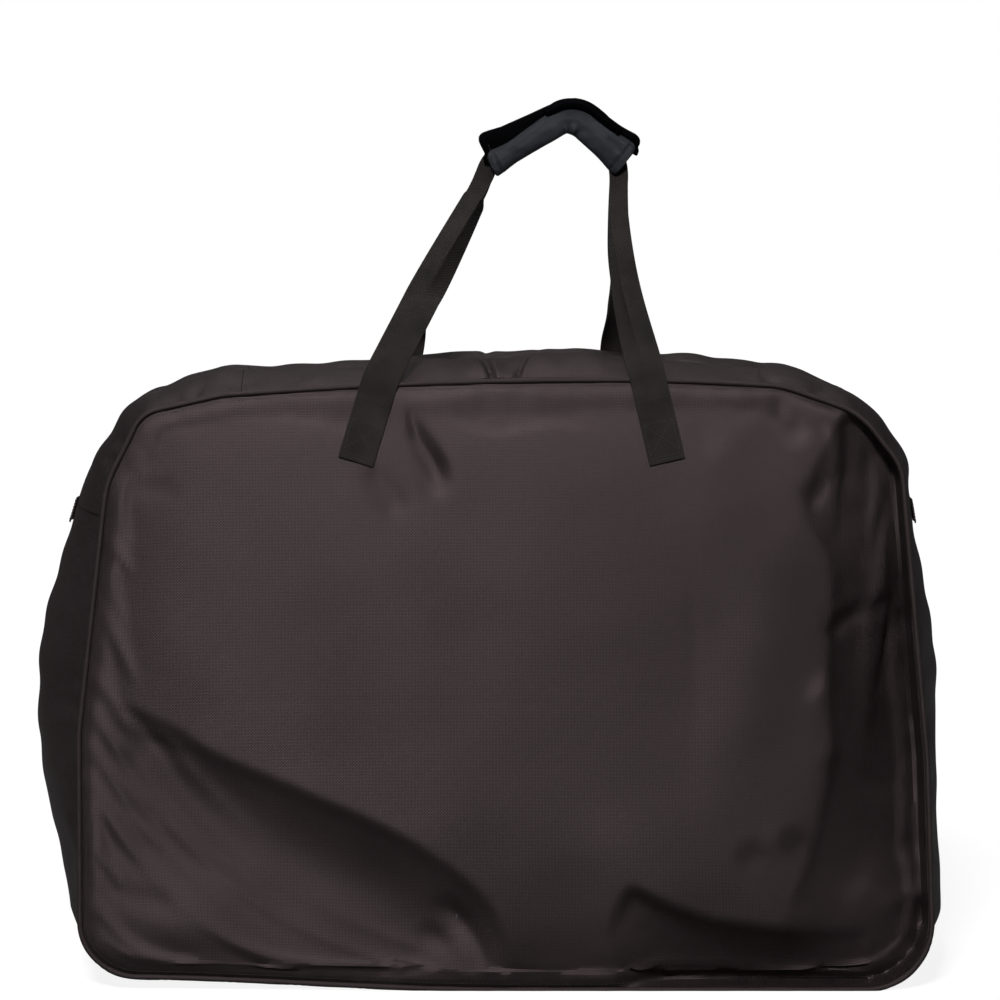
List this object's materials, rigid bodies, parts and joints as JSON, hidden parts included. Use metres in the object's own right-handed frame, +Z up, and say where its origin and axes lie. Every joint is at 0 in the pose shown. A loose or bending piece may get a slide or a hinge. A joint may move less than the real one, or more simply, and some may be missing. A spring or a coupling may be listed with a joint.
{
  "type": "soft bicycle travel bag",
  "caption": "Soft zipped travel bag for a folding bicycle, with webbing handles held together by a padded wrap.",
  "frame": {"origin": "on the floor under the middle of the bag", "axes": "+Z up, -Y towards the front panel, +X to the right as the front is seen"},
  "size_m": [0.9622, 0.276, 0.9335],
  "materials": {
    "shell_fabric": "woven, slight sheen",
    "foam": "light closed-cell foam",
    "lining_fabric": "smooth woven lining",
    "piping_fabric": "woven",
    "binding_tape": "woven tape",
    "webbing": "ribbed webbing",
    "wrap_fabric": "coated fabric",
    "zip_tape": "woven tape",
    "zip_coil": "satin",
    "zip_metal": "satin dark",
    "hook_and_loop": "hook and loop"
  },
  "bodies": {
    "bag": {"base_gusset": "shell_fabric", "base_gusset_foam": "foam", "base_gusset_lining": "lining_fabric", "front_anchor_left": "webbing", "front_anchor_right": "webbing", "front_panel": "shell_fabric", "front_panel_foam": "foam", "front_panel_lining": "lining_fabric", "front_piping": "piping_fabric", "front_seam_binding": "binding_tape", "left_front_strip": "shell_fabric", "left_front_strip_lining": "lining_fabric", "left_gusset": "shell_fabric", "left_gusset_foam": "foam", "left_gusset_lining": "lining_fabric", "left_rear_strip": "shell_fabric", "left_rear_strip_lining": "lining_fabric", "rear_anchor_left": "webbing", "rear_anchor_right": "webbing", "rear_panel": "shell_fabric", "rear_panel_foam": "foam", "rear_panel_lining": "lining_fabric", "rear_piping": "piping_fabric", "rear_seam_binding": "binding_tape", "right_front_strip": "shell_fabric", "right_front_strip_lining": "lining_fabric", "right_gusset": "shell_fabric", "right_gusset_foam": "foam", "right_gusset_lining": "lining_fabric", "right_rear_strip": "shell_fabric", "right_rear_strip_lining": "lining_fabric", "zip_end_tab_left": "shell_fabric", "zip_end_tab_right": "shell_fabric", "zip_left_end": "zip_tape", "zip_right_end": "zip_tape"},
    "mouth_front": {"mouth_front_strip": "shell_fabric", "mouth_front_strip_lining": "lining_fabric", "zip_tape_front": "zip_tape", "zip_coil_front": "zip_coil"},
    "mouth_rear": {"mouth_rear_strip": "shell_fabric", "mouth_rear_strip_lining": "lining_fabric", "zip_tape_rear": "zip_tape", "zip_coil_rear": "zip_coil"},
    "slider_left": {"zip_slider_left": "zip_metal"},
    "slider_right": {"zip_slider_right": "zip_metal"},
    "pull_left": {"zip_pull_left": "zip_metal"},
    "pull_right": {"zip_pull_right": "zip_metal"},
    "handle_front": {"front_handle": "webbing", "wrap_cover": "wrap_fabric", "wrap_foam": "foam", "wrap_loop_strip": "hook_and_loop"},
    "handle_rear": {"rear_handle": "webbing"},
    "tab_left": {"wrap_tab_left": "wrap_fabric", "wrap_hook_left": "hook_and_loop"},
    "tab_right": {"wrap_tab_right": "wrap_fabric", "wrap_hook_right": "hook_and_loop"}
  },
  "joints": [
    {"name": "mouth_front_hinge", "type": "hinge", "parent": "bag", "child": "mouth_front", "pos_m": [0, -0.1, 0.64], "axis": [1, 0, 0], "range_deg": [0, 50]},
    {"name": "mouth_rear_hinge", "type": "hinge", "parent": "bag", "child": "mouth_rear", "pos_m": [0, 0.1, 0.64], "axis": [-1, 0, 0], "range_deg": [0, 50]},
    {"name": "slider_left_slide", "type": "slide", "parent": "mouth_front", "child": "slider_left", "axis": [-1, 0, 0], "range_m": [0, 0.235]},
    {"name": "slider_right_slide", "type": "slide", "parent": "mouth_front", "child": "slider_right", "axis": [1, 0, 0], "range_m": [0, 0.253]},
    {"name": "pull_left_hinge", "type": "hinge", "parent": "slider_left", "child": "pull_left", "pos_m": [-0.014, 0, 0.6497], "axis": [0, 1, 0], "range_deg": [0, 110]},
    {"name": "pull_right_hinge", "type": "hinge", "parent": "slider_right", "child": "pull_right", "pos_m": [0.014, 0, 0.6497], "axis": [0, -1, 0], "range_deg": [0, 110]},
    {"name": "front_handle_hinge", "type": "hinge", "parent": "bag", "child": "handle_front", "pos_m": [0, -0.10661, 0.64], "axis": [1, 0, 0], "range_deg": [0, 190]},
    {"name": "rear_handle_hinge", "type": "hinge", "parent": "bag", "child": "handle_rear", "pos_m": [0, 0.10661, 0.64], "axis": [-1, 0, 0], "range_deg": [0, 190]},
    {"name": "tab_left_hinge", "type": "hinge", "parent": "handle_front", "child": "tab_left", "pos_m": [-0.01157, 0.01105, 0.88585], "axis": [0.8854, 0, 0.4649], "range_deg": [0, 110]},
    {"name": "tab_right_hinge", "type": "hinge", "parent": "handle_front", "child": "tab_right", "pos_m": [0.10277, 0.01105, 0.92588], "axis": [0.7756, 0, -0.6312], "range_deg": [0, 110]}
  ]
}
